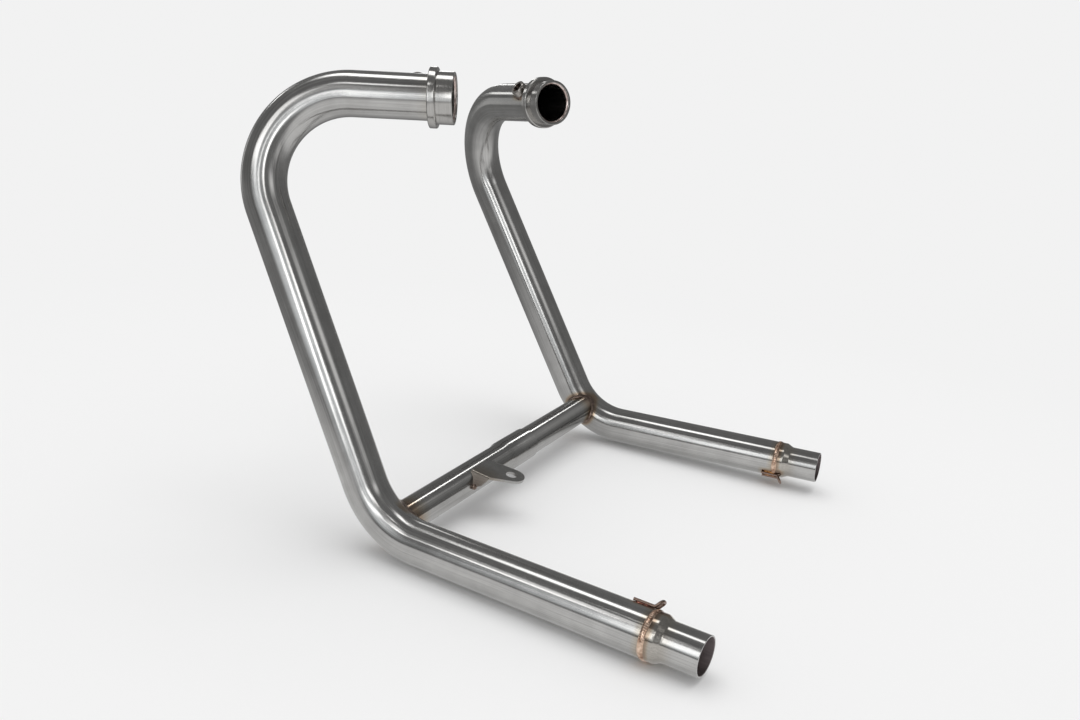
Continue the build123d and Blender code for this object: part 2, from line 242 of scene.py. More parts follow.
def piece(name, points, faces, replaces, metal, straight=None, tint=None, way=None, inside=None):
    """Makes one smooth piece from points in mm, and sets it in place of a node."""
    mesh = bpy.data.meshes.new(name)
    mesh.from_pydata([tuple(p) for p in metres(points)], [], faces)
    mesh.validate()
    if straight is not None:
        mark(mesh, "straight", np.asarray(straight, np.float32) / 1000.0)
    if tint is not None:
        mark(mesh, "tint", tint)
    if inside is not None:
        mark(mesh, "inside", inside)
    if way is not None:
        mark(mesh, "way", np.broadcast_to(way, (len(points), 3)))
    work = bmesh.new()
    work.from_mesh(mesh)
    bmesh.ops.recalc_face_normals(work, faces=work.faces)
    for edge in work.edges:
        edge.smooth = edge.calc_face_angle(0.0) < SHARP
    for face in work.faces:
        face.smooth = True
    work.to_mesh(mesh)
    work.free()
    obj = bpy.data.objects.new(name, mesh)
    bpy.context.scene.collection.objects.link(obj)
    mesh.materials.append(metal)
    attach(obj, "root")
    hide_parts(replaces)


def rings(rows, columns, close_rows=False):
    """Faces of a grid of rings, each ring closed, and the rows closed too where asked."""
    faces = []
    last = rows if close_rows else rows - 1
    for i in range(last):
        k = (i + 1) % rows
        for j in range(columns):
            n = (j + 1) % columns
            faces.append((i * columns + j, i * columns + n, k * columns + n, k * columns + j))
    return faces


def frames(ways, first):
    """Two directions square to each way, carried along without twist."""
    across = [unit(first - ways[0] * (first @ ways[0]))]
    for way in ways[1:]:
        across.append(unit(across[-1] - way * (across[-1] @ way)))
    across = np.array(across)
    return across, np.cross(ways, across)


def circle(count, side, other):
    """Directions round a circle."""
    angle = np.arange(count) * 2 * pi / count
    return np.outer(np.cos(angle), side) + np.outer(np.sin(angle), other)


def lathe(origin, axis, side, profile, columns, saddle=None):
    """Surface turned about an axis from a closed profile of (distance, radius).

    A saddle gives each point's distance along the axis in place of the profile's.
    """
    angle = np.arange(columns) * 2 * pi / columns
    turn = circle(columns, side, np.cross(axis, side))
    points, straight = [], []
    for along, radius in profile:
        shift = np.full(columns, along) if saddle is None else saddle(along, radius, turn)
        points.append(origin + shift[:, None] * axis + radius * turn)
        straight.append(np.stack([radius * np.cos(angle), radius * np.sin(angle), shift], axis=1))
    return np.concatenate(points), rings(len(profile), columns, True), np.concatenate(straight)


def rounded(corners, radius):
    """Open profile with its inner corners turned into arcs."""
    corners = [np.array(c, float) for c in corners]
    out = [corners[0]]
    for before, corner, after in zip(corners, corners[1:], corners[2:]):
        arc = fillet(before, corner, after, radius)
        out += [on_arc(arc, radius, arc[-1] * i / ARC_STEPS) for i in range(ARC_STEPS + 1)]
    return out + [corners[-1]]


def subdivide(profile, step):
    """Closed profile with points added where two lie further apart than a step."""
    out = []
    for a, b in zip(profile, profile[1:] + profile[:1]):
        a, b = np.asarray(a), np.asarray(b)
        count = max(1, int(np.linalg.norm(b - a) / step))
        out += [tuple(a + (b - a) * i / count) for i in range(count)]
    return out


# Materials

class Tree:
    """Short ways to add nodes to a tree. A value is a number, a colour, or the output of another node."""

    def __init__(self, owner):
        owner.use_nodes = True
        self.tree = owner.node_tree

    def __getitem__(self, name):
        return self.tree.nodes[name]

    def feed(self, socket, value):
        """Sets a socket, or links it."""
        if isinstance(value, bpy.types.NodeSocket):
            self.tree.links.new(value, socket)
        else:
            socket.default_value = value

    def node(self, kind, inputs=None, **settings):
        """New node, with its settings and its inputs by name or number."""
        new = self.tree.nodes.new("ShaderNode" + kind)
        for key, value in settings.items():
            setattr(new, key, value)
        for key, value in (inputs or {}).items():
            self.feed(new.inputs[key], value)
        return new

    def math(self, operation, *values):
        """Result of a sum on numbers."""
        return self.node("Math", dict(enumerate(values)), operation=operation).outputs[0]

    def vector(self, operation, *values, result="Vector"):
        """Result of a sum on vectors."""
        return self.node("VectorMath", dict(enumerate(values)), operation=operation).outputs[result]

    def span(self, value, low, high, start, end, smooth=False):
        """Value carried from one range to another."""
        kind = "SMOOTHSTEP" if smooth else "LINEAR"
        inputs = dict(enumerate((value, low, high, start, end)))
        return self.node("MapRange", inputs, interpolation_type=kind).outputs[0]

    def mark(self, name, output="Fac"):
        """What a mesh marks its vertices with under a name."""
        return self.node("Attribute", attribute_name=name).outputs[output]

    def noise(self, place, scale, detail, roughness):
        """Noise from 0 to 1 at a place."""
        inputs = {"Vector": place, "Scale": scale, "Detail": detail, "Roughness": roughness}
        return self.node("TexNoise", inputs).outputs["Fac"]

    def ramp(self, value, stops):
        """Colour of a value, from stops of (position, colour)."""
        new = self.node("ValToRGB", {"Fac": value})
        elements = new.color_ramp.elements
        elements.remove(elements[-1])
        elements[0].position, elements[0].color = stops[0][0], (*stops[0][1], 1)
        for position, colour in stops[1:]:
            elements.new(position).color = (*colour, 1)
        return new.outputs["Color"]

    def bump(self, height, strength, distance):
        """Normal of a surface raised by a height."""
        return self.node("Bump", {"Height": height, "Strength": strength, "Distance": distance}).outputs["Normal"]


PLAIN = (1.0, 1.0, 1.0)
HEAT = ((0.0, PLAIN), (0.3, (0.97, 0.91, 0.82)), (0.6, (0.78, 0.62, 0.48)), (1.0, (0.46, 0.34, 0.27)))
PLATE_HEAT = ((0.0, PLAIN), (0.4, (0.80, 0.74, 0.67)), (1.0, (0.40, 0.34, 0.30)))
# Painted shade: the boss's bore darkened almost to black
BORE_SHADE = ((0.0, PLAIN), (1.0, (0.10, 0.08, 0.07)))
PLATE_HEAT_REACH, PLATE_HEAT_MOST = (0.004, 0.036), 0.95
# Inside the outlet: the scale's mauve colour, with a painted shade that darkens it
SCALE_ROUGH, SCALE = 0.5, ((0.0, PLAIN), (1.0, (0.74, 0.64, 0.66)))
NOISE_SPAN = (0.3, 0.7)
MOTTLE_SCALE, MOTTLE_DETAIL, MOTTLE = 38.0, 5.0, 0.10
GRAIN_DETAIL, GRAIN_BUMP, GRAIN_DEPTH = 2.0, 0.05, 0.00005
STEEL_NOISE_ROUGH, WELD_NOISE_ROUGH = 0.6, 0.5
PATCH_SCALE, PATCH_STOPS = 170.0, (0.32, 0.5, 0.66)
SKIN_SCALE, SKIN_BUMP, SKIN_DEPTH, SKIN_SMOOTHER, SKIN_ROUGHER = 2600.0, 0.25, 0.0001, 0.08, 0.1
WELD_DETAIL = 3.0


def steel(name, colour, rough, grain_scale, turned=True, grain=0.12, discolour=HEAT, brushed=0.8, heat_at=None):
    """Brushed steel: fine grain, soft mottling, heat tint, and scale with a painted shade where the mesh marks an
    inside.

    On a turned or bent piece the grain follows it. The heat is marked on the mesh, or lies round one place; on the boss
    the marked ramp is a painted shade in its bore.
    """
    made = bpy.data.materials.new(name)
    tree = Tree(made)
    shader = tree["Principled BSDF"].inputs
    place = tree.mark("straight", "Vector") if turned else tree.node("TexCoord").outputs["Object"]
    stretched = tree.node("Mapping", {"Vector": place, "Scale": grain_scale}).outputs["Vector"]
    fine = tree.noise(stretched, 1.0, GRAIN_DETAIL, STEEL_NOISE_ROUGH)
    clouds = tree.noise(place, MOTTLE_SCALE, MOTTLE_DETAIL, STEEL_NOISE_ROUGH)
    broad = tree.span(clouds, *NOISE_SPAN, 1 - MOTTLE, 1 + MOTTLE)
    both = tree.math("MULTIPLY", tree.span(fine, *NOISE_SPAN, 1 - grain, 1 + grain), broad)
    shade = tree.node("VectorMath", {0: colour, "Scale": both}, operation="SCALE").outputs["Vector"]
    # Heat tint near welds; on the boss the same ramp darkens the bore as painted shade
    if discolour:
        if heat_at:
            reach = tree.vector("DISTANCE", place, heat_at, result="Value")
            tint_and_shade = tree.span(reach, *PLATE_HEAT_REACH, PLATE_HEAT_MOST, 0.0)
        else:
            tint_and_shade = tree.mark("tint")
        shade = tree.vector("MULTIPLY", shade, tree.ramp(tree.math("MULTIPLY", tint_and_shade, broad), discolour))
    # Where the mesh marks an inside: the scale's mauve with a painted shade that darkens it, and a rougher skin
    inside = tree.mark("inside")
    tree.feed(shader["Base Color"], tree.vector("MULTIPLY", shade, tree.ramp(inside, SCALE)))
    tree.feed(shader["Roughness"], tree.math("MULTIPLY_ADD", inside, SCALE_ROUGH, tree.math("MULTIPLY", both, rough)))
    tree.feed(shader["Normal"], tree.bump(fine, GRAIN_BUMP, GRAIN_DEPTH))
    if turned:
        shader["Anisotropic"].default_value = brushed
        tree.feed(shader["Tangent"], tree.mark("way", "Vector"))
    shader["Metallic"].default_value = 1.0
    return made


def weld_metal(name, dark, light, rough):
    """Cooled weld: brown to copper and straw in patches, with a fine frosted skin."""
    made = bpy.data.materials.new(name)
    tree = Tree(made)
    shader = tree["Principled BSDF"].inputs
    place = tree.node("TexCoord").outputs["Object"]
    middle = tuple((a + b) / 2 for a, b in zip(dark, light))
    patches = tree.noise(place, PATCH_SCALE, WELD_DETAIL, WELD_NOISE_ROUGH)
    tree.feed(shader["Base Color"], tree.ramp(patches, tuple(zip(PATCH_STOPS, (dark, middle, light)))))
    skin = tree.noise(place, SKIN_SCALE, WELD_DETAIL, WELD_NOISE_ROUGH)
    tree.feed(shader["Roughness"], tree.span(skin, *NOISE_SPAN, rough - SKIN_SMOOTHER, rough + SKIN_ROUGHER))
    tree.feed(shader["Normal"], tree.bump(skin, SKIN_BUMP, SKIN_DEPTH))
    shader["Metallic"].default_value = 1.0
    return made


bracket_foot = tuple((low + high) / 2 for low, high in zip(*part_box("bracket_weld")))
tube_steel = steel("tube_steel", (0.46, 0.455, 0.445), 0.19, (1100, 1100, 9), grain=0.14)
# The tube's steel made darker for the cross tube: painted shade
cross_steel = steel("cross_steel", (0.36, 0.355, 0.345), 0.17, (1100, 1100, 9), grain=0.14)
ferrule_steel = steel("ferrule_steel", (0.45, 0.44, 0.425), 0.18, (25, 25, 2600), discolour=None, brushed=0.6)
# The boss's bore, marked on its mesh, is darkened as painted shade
boss_steel = steel("boss_steel", (0.40, 0.375, 0.35), 0.22, (500, 500, 500), turned=False, discolour=BORE_SHADE)
plate_steel = steel("plate_steel", (0.39, 0.385, 0.375), 0.33, (700, 90, 700), turned=False, discolour=PLATE_HEAT,
                    heat_at=bracket_foot)
wire_steel = steel("wire_steel", (0.24, 0.17, 0.14), 0.16, (900, 120, 900), turned=False, discolour=None)
ring_weld = weld_metal("ring_weld", (0.30, 0.17, 0.11), (0.84, 0.64, 0.50), 0.22)
red_weld = weld_metal("red_weld", (0.08, 0.035, 0.03), (0.34, 0.14, 0.10), 0.18)
orange_weld = weld_metal("orange_weld", (0.14, 0.055, 0.02), (0.80, 0.42, 0.16), 0.20)
brown_weld = weld_metal("brown_weld", (0.11, 0.08, 0.065), (0.38, 0.29, 0.24), 0.28)
pink_weld = weld_metal("pink_weld", (0.36, 0.25, 0.22), (0.82, 0.72, 0.68), 0.24)
hook_metal = {"left": red_weld, "right": orange_weld}


# Pieces

def header_tube(half):
    """Bent tube with an inner wall, its grain laid along it, and heat tint beside its welds."""
    across, up = frames(half.ways, half.around(half.port_axis, SEAM_ANGLE))
    rows = len(half.points)
    points, straight, ways, faces = [], [], [], []
    base = 0
    for radius, columns in ((TUBE_R, TUBE_COLUMNS), (TUBE_R - TUBE_WALL, INNER_COLUMNS)):
        angle = np.arange(columns) * 2 * pi / columns
        c, s = np.cos(angle)[None], np.sin(angle)[None]
        ring = c[..., None] * across[:, None, :] + s[..., None] * up[:, None, :]
        points.append((half.points[:, None, :] + radius * ring).reshape(-1, 3))
        flat = np.stack(np.broadcast_arrays(radius * c, radius * s, half.distance[:, None]), axis=2)
        straight.append(flat.reshape(-1, 3))
        ways.append(np.repeat(half.ways, columns, axis=0))
        faces += [tuple(base + v for v in face) for face in rings(rows, columns)]
        base += rows * columns
    points, straight, ways = np.concatenate(points), np.concatenate(straight), np.concatenate(ways)
    inner = rows * TUBE_COLUMNS
    for row in (0, rows - 1):
        for j in range(TUBE_COLUMNS):
            n = (j + 1) % TUBE_COLUMNS
            a, b = row * TUBE_COLUMNS + j, row * TUBE_COLUMNS + n
            c, d = inner + row * INNER_COLUMNS + n // 2, inner + row * INNER_COLUMNS + j // 2
            faces.append((a, b, c, d) if c != d else (a, b, c))
    boss = half.port + half.port_axis * BOSS_SETBACK + half.around(half.port_axis, BOSS_ANGLE) * TUBE_R
    hook = half.outlet - half.run_axis * half.hook_bead
    hook = hook + half.around(half.run_axis, HOOK_ANGLE[half.name]) * TUBE_R
    stub = stub_axis[half.name]
    offset = points - feet[half.name]
    to_stub = np.linalg.norm(offset - np.outer(offset @ stub, stub), axis=1)
    to_stub = np.where(offset @ stub > 0, to_stub, np.inf)
    to_port = straight[:, 2]
    tint = np.maximum.reduce([scorch(apart(points, boss), BOSS_HEAT), scorch(apart(points, hook), HOOK_HEAT),
                              scorch(to_stub, STUB_HEAT), scorch(half.distance[-1] - to_port, TUBE_END_HEAT),
                              scorch(to_port, FERRULE_HEAT)])
    piece(f"{half.name}_tube", points, faces, f"{half.name}_header_tube", tube_steel, straight, tint, ways)


def outlet_reducer(half):
    """Reducer of one wall: shoulder, cone and spigot."""
    shoulder = REDUCER_LENGTH - SHOULDER_LENGTH
    cone = shoulder - CONE_LENGTH
    mouth, bore = OUTLET_R - TUBE_WALL, TUBE_R - TUBE_WALL

    def wall(small, large):
        line = rounded([(0, small), (cone, small), (shoulder, large), (REDUCER_LENGTH, large)], CONE_ROUND)
        return [(MOUTH_EDGE, small)] + [tuple(p) for p in line[1:]]

    profile = wall(OUTLET_R, TUBE_R) + wall(mouth, bore)[::-1]
    profile += [(0.0, mouth + MOUTH_EDGE), (0.0, OUTLET_R - MOUTH_EDGE)]
    profile = subdivide(profile, PROFILE_STEP)
    side = half.around(half.run_axis, REDUCER_SEAM)
    points, faces, straight = lathe(half.outlet, -half.run_axis, side, profile, TUBE_COLUMNS)
    smoke = half.outlet - half.run_axis * (REDUCER_LENGTH - SMOKE_BACK)
    smoke = smoke + half.around(half.run_axis, HOOK_ANGLE[half.name] - SMOKE_TURN) * TUBE_R
    to_mouth = straight[:, 2]
    tint = np.maximum.reduce([scorch(REDUCER_LENGTH - to_mouth, REDUCER_HEAT),
                              scorch(np.abs(to_mouth - CONE_HEAT_AT), CONE_HEAT),
                              scorch(apart(points, smoke), SMOKE_HEAT)])
    # Inner faces, marked for the scale's colour and its painted shade
    inside = np.repeat([radius < mouth + SCALE_AND_SHADE_EDGE or radius == bore for _, radius in profile], TUBE_COLUMNS)
    piece(f"{half.name}_reducer", points, faces, f"{half.name}_outlet_reducer", tube_steel, straight, tint,
          half.run_axis, inside)


def port_ferrule(half):
    """Spigot and collar turned in one, bored for the tube."""
    bore, back = TUBE_R + FERRULE_CLEARANCE, SPIGOT_LENGTH + COLLAR_LENGTH
    mouth = rounded([(back, bore), (0, bore), (0, SPIGOT_R), (SPIGOT_LENGTH, SPIGOT_R)], SPIGOT_ROUND)
    collar = rounded([(SPIGOT_LENGTH, SPIGOT_R), (SPIGOT_LENGTH, COLLAR_R), (back, COLLAR_R), (back, bore)],
                     COLLAR_ROUND)
    profile = [tuple(p) for p in mouth + collar[1:-1]]
    side = half.around(half.port_axis, 0)
    points, faces, straight = lathe(half.port, half.port_axis, side, profile, FERRULE_COLUMNS)
    piece(f"{half.name}_ferrule", points, faces, f"{half.name}_port_ferrule", ferrule_steel, straight,
          way=half.port_axis)


def meet(half, radius, turn):
    """How far along a stub each line at a radius meets the header's skin."""
    foot, axis = feet[half.name], stub_axis[half.name]
    low, high = np.zeros(len(turn)), np.full(len(turn), SADDLE_REACH)
    for _ in range(SADDLE_HALVINGS):
        middle = (low + high) / 2
        inside = half.depth(foot + middle[:, None] * axis + radius * turn) < TUBE_R
        low, high = np.where(inside, middle, low), np.where(inside, high, middle)
    return high


def cross_tube(half):
    """Stub of the cross tube, its foot cut to the header; the left one ends in the socket."""
    left, axis = half.name == "left", stub_axis[half.name]
    wide = CROSS_R + CROSS_WALL + SLIP_CLEARANCE
    outer = [(0, CROSS_R), (SADDLE_REACH, CROSS_R)]
    if left:
        outer += [(SOCKET_STEP, CROSS_R), (SOCKET_STEP + SOCKET_TAPER, wide), (SOCKET_LIP - STUB_EDGE, wide),
                  (SOCKET_LIP, wide - STUB_EDGE)]
    else:
        end = cross_length - SLIP_END
        outer += [(end - STUB_EDGE, CROSS_R), (end, CROSS_R - STUB_EDGE)]
    inner = [(along, radius - CROSS_WALL) for along, radius in outer]
    inner[-1] = (outer[-1][0], outer[-1][1] - CROSS_WALL + STUB_EDGE)

    def saddle(along, radius, turn):
        return meet(half, radius, turn) - TUCK if along == 0 else np.full(len(turn), float(along))

    side = unit(np.cross(axis, half.run_axis))
    points, faces, straight = lathe(feet[half.name], axis, side, outer + inner[::-1], STUB_COLUMNS, saddle)
    tint = scorch(straight[:, 2], FOOT_HEAT)
    if left:
        tint = np.maximum(tint, scorch(np.abs(straight[:, 2] - BRACKET_HEAT_AT), BRACKET_HEAT))
    piece(f"{half.name}_stub", points, faces, f"{half.name}_cross_tube", cross_steel, straight, tint, axis)


def outward(first, second, root):
    """Ways from a root line to the middle of its two feet."""
    return np.array([unit(a + b - 2 * c) for a, b, c in zip(first, second, root)])


def bead(name, first, root, second, out, ripples, replaces, metal):
    """Rippled weld along a closed line: its two feet, its root and the outward way at each station."""
    rise, pitch = ripples
    steps = np.linalg.norm(np.roll(root, -1, axis=0) - root, axis=1)
    length = steps.sum()
    count = max(FEWEST_RIPPLES, round(length / pitch))
    round_share = np.concatenate([[0.0], np.cumsum(steps)[:-1]]) / length
    station, turn = round_share * count, round_share * 2 * pi
    wander = 1 + sum(share * np.sin(waves * turn + phase) for share, waves, phase in WANDER)
    points = []
    for t in np.linspace(0, 1, BEAD_ACROSS):
        bow = 4 * t * (1 - t)
        wave = ((station + RIPPLE_LEAD * bow) % 1.0) ** CREST_POWER
        lift = rise * bow ** SECTION_POWER * wander * (BEAD_SHARE + RIPPLE_SHARE * wave)
        points.append(first * (1 - t) + second * t + out * lift[:, None])
    points.append(root)
    rows = np.array(points).transpose(1, 0, 2).reshape(-1, 3)
    piece(name, rows, rings(len(first), BEAD_ACROSS + 1, True), replaces, metal)


def outlet_weld(half):
    """Bead between tube and reducer."""
    side = half.around(half.run_axis, 0)
    turn = circle(OUTLET_STATIONS, side, np.cross(half.run_axis, side))
    joint = half.outlet - half.run_axis * REDUCER_LENGTH
    reach = half.run_axis * OUTLET_BEAD_WIDTH / 2
    skin = turn * (TUBE_R - TUCK)
    root = joint + turn * (TUBE_R - RING_ROOT)
    bead(f"{half.name}_outlet_bead", joint + reach + skin, root, joint - reach + skin, turn, OUTLET_RIPPLES,
         f"{half.name}_outlet_weld", ring_weld)


def cross_weld(half):
    """Bead round the saddle of the cross tube."""
    foot, axis = feet[half.name], stub_axis[half.name]
    side = unit(np.cross(axis, half.run_axis))
    turn = circle(CROSS_STATIONS, side, np.cross(axis, side))
    root = meet(half, CROSS_R, turn)[:, None] * axis + foot + CROSS_R * turn
    first = root + axis * CROSS_BEAD - turn * TUCK
    wide = CROSS_R + CROSS_BEAD
    second = foot + meet(half, wide, turn)[:, None] * axis + wide * turn - axis * TUCK
    out = outward(first, second, root)
    bead(f"{half.name}_cross_bead", first, root - out * FILLET_ROOT, second, out, CROSS_RIPPLES,
         f"{half.name}_cross_weld", brown_weld)


def boss_skin(half, radius, columns):
    """Ways round the sensor boss, and the height of the tube's skin under a circle of a radius about it."""
    axis, side = half.around(half.port_axis, BOSS_ANGLE), half.port_axis
    other = np.cross(axis, side)
    turn = circle(columns, side, other)
    return turn, np.sqrt(TUBE_R ** 2 - (radius * np.abs(turn @ other)) ** 2)


def sensor_boss(half):
    """Sensor boss with its thread."""
    foot, axis = half.port + half.port_axis * BOSS_SETBACK, half.around(half.port_axis, BOSS_ANGLE)
    turn, skin = boss_skin(half, BOSS_R, BOSS_COLUMNS)
    top = TUBE_R + BOSS_HEIGHT
    rows = [skin[:, None] * axis + BOSS_R * turn]
    for height, radius in ((top - BOSS_CHAMFER, BOSS_R), (top - CHAMFER_DROP, BOSS_R - CHAMFER_INSET),
                           (top, BOSS_R - BOSS_CHAMFER), (top, THREAD_MAJOR + THREAD_FLARE)):
        rows.append(height * axis + radius * turn)
    outside = len(rows)
    start, end = top - THREAD_START, TUBE_R - TUBE_WALL
    angle = np.arange(BOSS_COLUMNS) / BOSS_COLUMNS
    for i in range(THREAD_LEVELS + 1):
        height = start - (start - end) * i / THREAD_LEVELS
        phase = (height / THREAD_PITCH + angle) % 1.0
        tooth = np.clip(FLANK_SLOPE * np.abs(phase - 0.5) - ROOT_FLAT, 0, 1)
        tooth = tooth * min(1.0, (start - height) / THREAD_RUN_IN)
        radius = THREAD_MAJOR - (THREAD_MAJOR - THREAD_MINOR) * tooth
        rows.append(height * axis + radius[:, None] * turn)
    # Marks the bore, which the boss's steel darkens as painted shade
    inside = np.repeat(np.arange(len(rows)) > outside, BOSS_COLUMNS)
    piece(f"{half.name}_boss", np.concatenate(rows) + foot, rings(len(rows), BOSS_COLUMNS, True),
          f"{half.name}_sensor_boss", boss_steel, tint=inside)


def sensor_weld(half):
    """Bead round the foot of the sensor boss."""
    foot, axis = half.port + half.port_axis * BOSS_SETBACK, half.around(half.port_axis, BOSS_ANGLE)
    turn, skin = boss_skin(half, BOSS_R, BOSS_STATIONS)
    root = foot + skin[:, None] * axis + BOSS_R * turn
    first = root + axis * BOSS_BEAD - turn * TUCK
    wide = BOSS_R + BOSS_BEAD
    second = foot + boss_skin(half, wide, BOSS_STATIONS)[1][:, None] * axis + wide * turn - axis * TUCK
    out = outward(first, second, root)
    bead(f"{half.name}_boss_bead", first, root - out * FILLET_ROOT, second, out, BOSS_RIPPLES,
         f"{half.name}_sensor_weld", brown_weld)


def port_weld(half):
    """Bead inside the port mouth."""
    side = half.around(half.port_axis, 0)
    turn = circle(PORT_STATIONS, side, np.cross(half.port_axis, side))
    bore = TUBE_R + FERRULE_CLEARANCE
    root = half.port + half.port_axis * TUBE_RECESS + turn * bore
    first = half.port + half.port_axis * (TUBE_RECESS - PORT_BEAD) + turn * bore
    second = half.port + half.port_axis * TUBE_RECESS + turn * (bore - PORT_BEAD + 2 * FERRULE_CLEARANCE)
    bead(f"{half.name}_port_bead", first, root, second, outward(first, second, root), PORT_RIPPLES,
         f"{half.name}_port_weld", pink_weld)


def hook_weld(half):
    """Puddle of weld over the legs of the hook, lying on the tube."""
    out = half.around(half.run_axis, HOOK_ANGLE[half.name])
    side = np.cross(half.run_axis, out)
    rows, columns = PUDDLE_ROWS, PUDDLE_COLUMNS
    along = ((np.arange(rows) / (rows - 1) - 0.5) * HOOK_BEAD_LENGTH)[:, None]
    wide = ((np.arange(columns) / (columns - 1) - 0.5) * HOOK_BEAD_WIDTH)[None]
    u, v = 2 * along / HOOK_BEAD_LENGTH, 2 * wide / HOOK_BEAD_WIDTH
    mask = np.maximum(0.0, 1 - (u ** PUDDLE_SQUARE + v ** PUDDLE_SQUARE)) ** PUDDLE_POWER
    from_leg = np.abs(wide) - HOOK_HALF_WIDTH
    wave = ((along + PUDDLE_LEAD * np.abs(from_leg)) / PUDDLE_PITCH % 1.0) ** PUDDLE_CREST
    ridge = VALLEY + RIDGE * np.exp(-(from_leg / RIDGE_WIDTH) ** 2)
    lift = HOOK_BEAD_RISE * mask * ridge * (PUDDLE_SHARE + PUDDLE_RIPPLE * wave)
    angle = (wide / TUBE_R)[..., None]
    ring = out * np.cos(angle) + side * np.sin(angle)
    line = half.outlet - half.run_axis * (half.hook_bead - along)[..., None]
    levels = np.full_like(lift, TUBE_R - PUDDLE_ROOT), TUBE_R + lift - PUDDLE_TUCK
    layers = [line + radius[..., None] * ring for radius in levels]
    faces = []
    size = rows * columns
    for layer in (0, size):
        for i in range(rows - 1):
            for j in range(columns - 1):
                a = layer + i * columns + j
                faces.append((a, a + 1, a + columns + 1, a + columns))
    rim = list(range(columns)) + [i * columns + columns - 1 for i in range(1, rows)]
    rim += [(rows - 1) * columns + j for j in range(columns - 2, -1, -1)]
    rim += [i * columns for i in range(rows - 2, 0, -1)]
    faces += [(a, b, size + b, size + a) for a, b in zip(rim, rim[1:] + rim[:1])]
    piece(f"{half.name}_hook_bead", np.array(layers).reshape(-1, 3), faces, f"{half.name}_hook_weld",
          hook_metal[half.name])


for half in halves.values():
    for make in (header_tube, outlet_reducer, port_ferrule, cross_tube, outlet_weld, cross_weld, sensor_boss,
                 sensor_weld, port_weld, hook_weld):
        make(half)

for name, metal in (("left_spring_hook", wire_steel), ("right_spring_hook", wire_steel), ("cross_bracket", plate_steel),
                    ("bracket_weld", brown_weld)):
    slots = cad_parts[name].data.materials
    slots.clear()
    slots.append(metal)

# Floor: pale to the eye and shaded near the part; mirrored in the steel it is a painted pool of light that fades out,
# part of which glows evenly without the part's shadow
FLOOR_REACH = 30.0
PALE, BACKGROUND = 0.9, 0.887
SHADE_NEAR, SHADE_FAR = 0.5, 1.3
POOL_AT, POOL_NEAR, POOL_FAR, POOL_EDGE = (0.40, 0.65, 0.0), 0.7, 1.45, 0.26
MIRRORED_EVEN = 0.45
floor_mesh = bpy.data.meshes.new("floor")
floor_mesh.from_pydata([(x * FLOOR_REACH, y * FLOOR_REACH, 0) for x, y in ((-1, -1), (1, -1), (1, 1), (-1, 1))], [],
                       [(0, 1, 2, 3)])
floor = bpy.data.objects.new("floor", floor_mesh)
bpy.context.scene.collection.objects.link(floor)
pale = bpy.data.materials.new("pale_floor")
tree = Tree(pale)
shader = tree["Principled BSDF"]
seen = tree.node("LightPath").outputs
direct = tree.math("ADD", seen["Is Camera Ray"], seen["Is Transmission Ray"])
place = tree.node("NewGeometry").outputs["Position"]
# Painted pool of light: as mirrored in the steel, the floor is pale round one place and dark further away
from_pool = tree.vector("DISTANCE", place, POOL_AT, result="Value")
pool = tree.span(from_pool, POOL_NEAR, POOL_FAR, PALE, POOL_EDGE, smooth=True)
mirrored = tree.math("MULTIPLY", seen["Is Glossy Ray"], pool)
tree.feed(shader.inputs["Base Color"], tree.math("MULTIPLY_ADD", direct, PALE, mirrored))
shader.inputs["Roughness"].default_value = 1.0
shader.inputs["Specular IOR Level"].default_value = 0.0
# Glow: for the eye the even pale background, for the steel a painted glow at the pool's level
even = tree.node("Emission", {"Color": (BACKGROUND, BACKGROUND, BACKGROUND, 1),
                              "Strength": tree.math("MULTIPLY_ADD", mirrored, 1 / PALE, direct)})
away = tree.span(tree.vector("LENGTH", place, result="Value"), SHADE_NEAR, SHADE_FAR, 0.0, 1.0, smooth=True)
# Share of glow: away from the part for the eye; for the steel a fixed share, painted light that leaves out the part's
# shadow
plain = tree.math("MULTIPLY_ADD", seen["Is Glossy Ray"], MIRRORED_EVEN, tree.math("MULTIPLY", away, direct))
surface = tree.node("MixShader", {0: plain, 1: shader.outputs[0], 2: even.outputs[0]})
tree.feed(tree["Material Output"].inputs["Surface"], surface.outputs[0])
floor_mesh.materials.append(pale)

# World: pale to the eye, mostly dark where the steel mirrors it
AMBIENT, MIRRORED_SHARE = 0.17, 0.04
world = bpy.data.worlds.new("studio")
bpy.context.scene.world = world
tree = Tree(world)
seen = tree.node("LightPath").outputs
direct = tree.math("ADD", seen["Is Camera Ray"], seen["Is Transmission Ray"])
shown = tree.math("MULTIPLY_ADD", seen["Is Glossy Ray"], MIRRORED_SHARE, direct)
tree.feed(tree["Background"].inputs["Strength"], tree.span(shown, 0.0, 1.0, AMBIENT, BACKGROUND))
tree["Background"].inputs["Color"].default_value = (1, 1, 1, 1)


# Lamps: the soft boxes light the part alone, and the floor has its own even light

def receivers(name, names, state):
    """Objects that a lamp lights alone, or that it leaves out."""
    made = bpy.data.collections.new(name)
    for each in names:
        made.objects.link(bpy.data.objects[each])
    for linked in made.collection_objects:
        linked.light_linking.link_state = state
    return made


part_only = receivers("part_only", ("floor",), "EXCLUDE")
not_cross = receivers("not_cross", ("floor", "left_stub", "right_stub"), "EXCLUDE")
cross_only = receivers("cross_only", ("left_stub", "right_stub"), "INCLUDE")
left_stub_only = receivers("left_stub_only", ("left_stub",), "INCLUDE")
near_only = receivers("near_only", ("left_tube", "left_ferrule"), "INCLUDE")


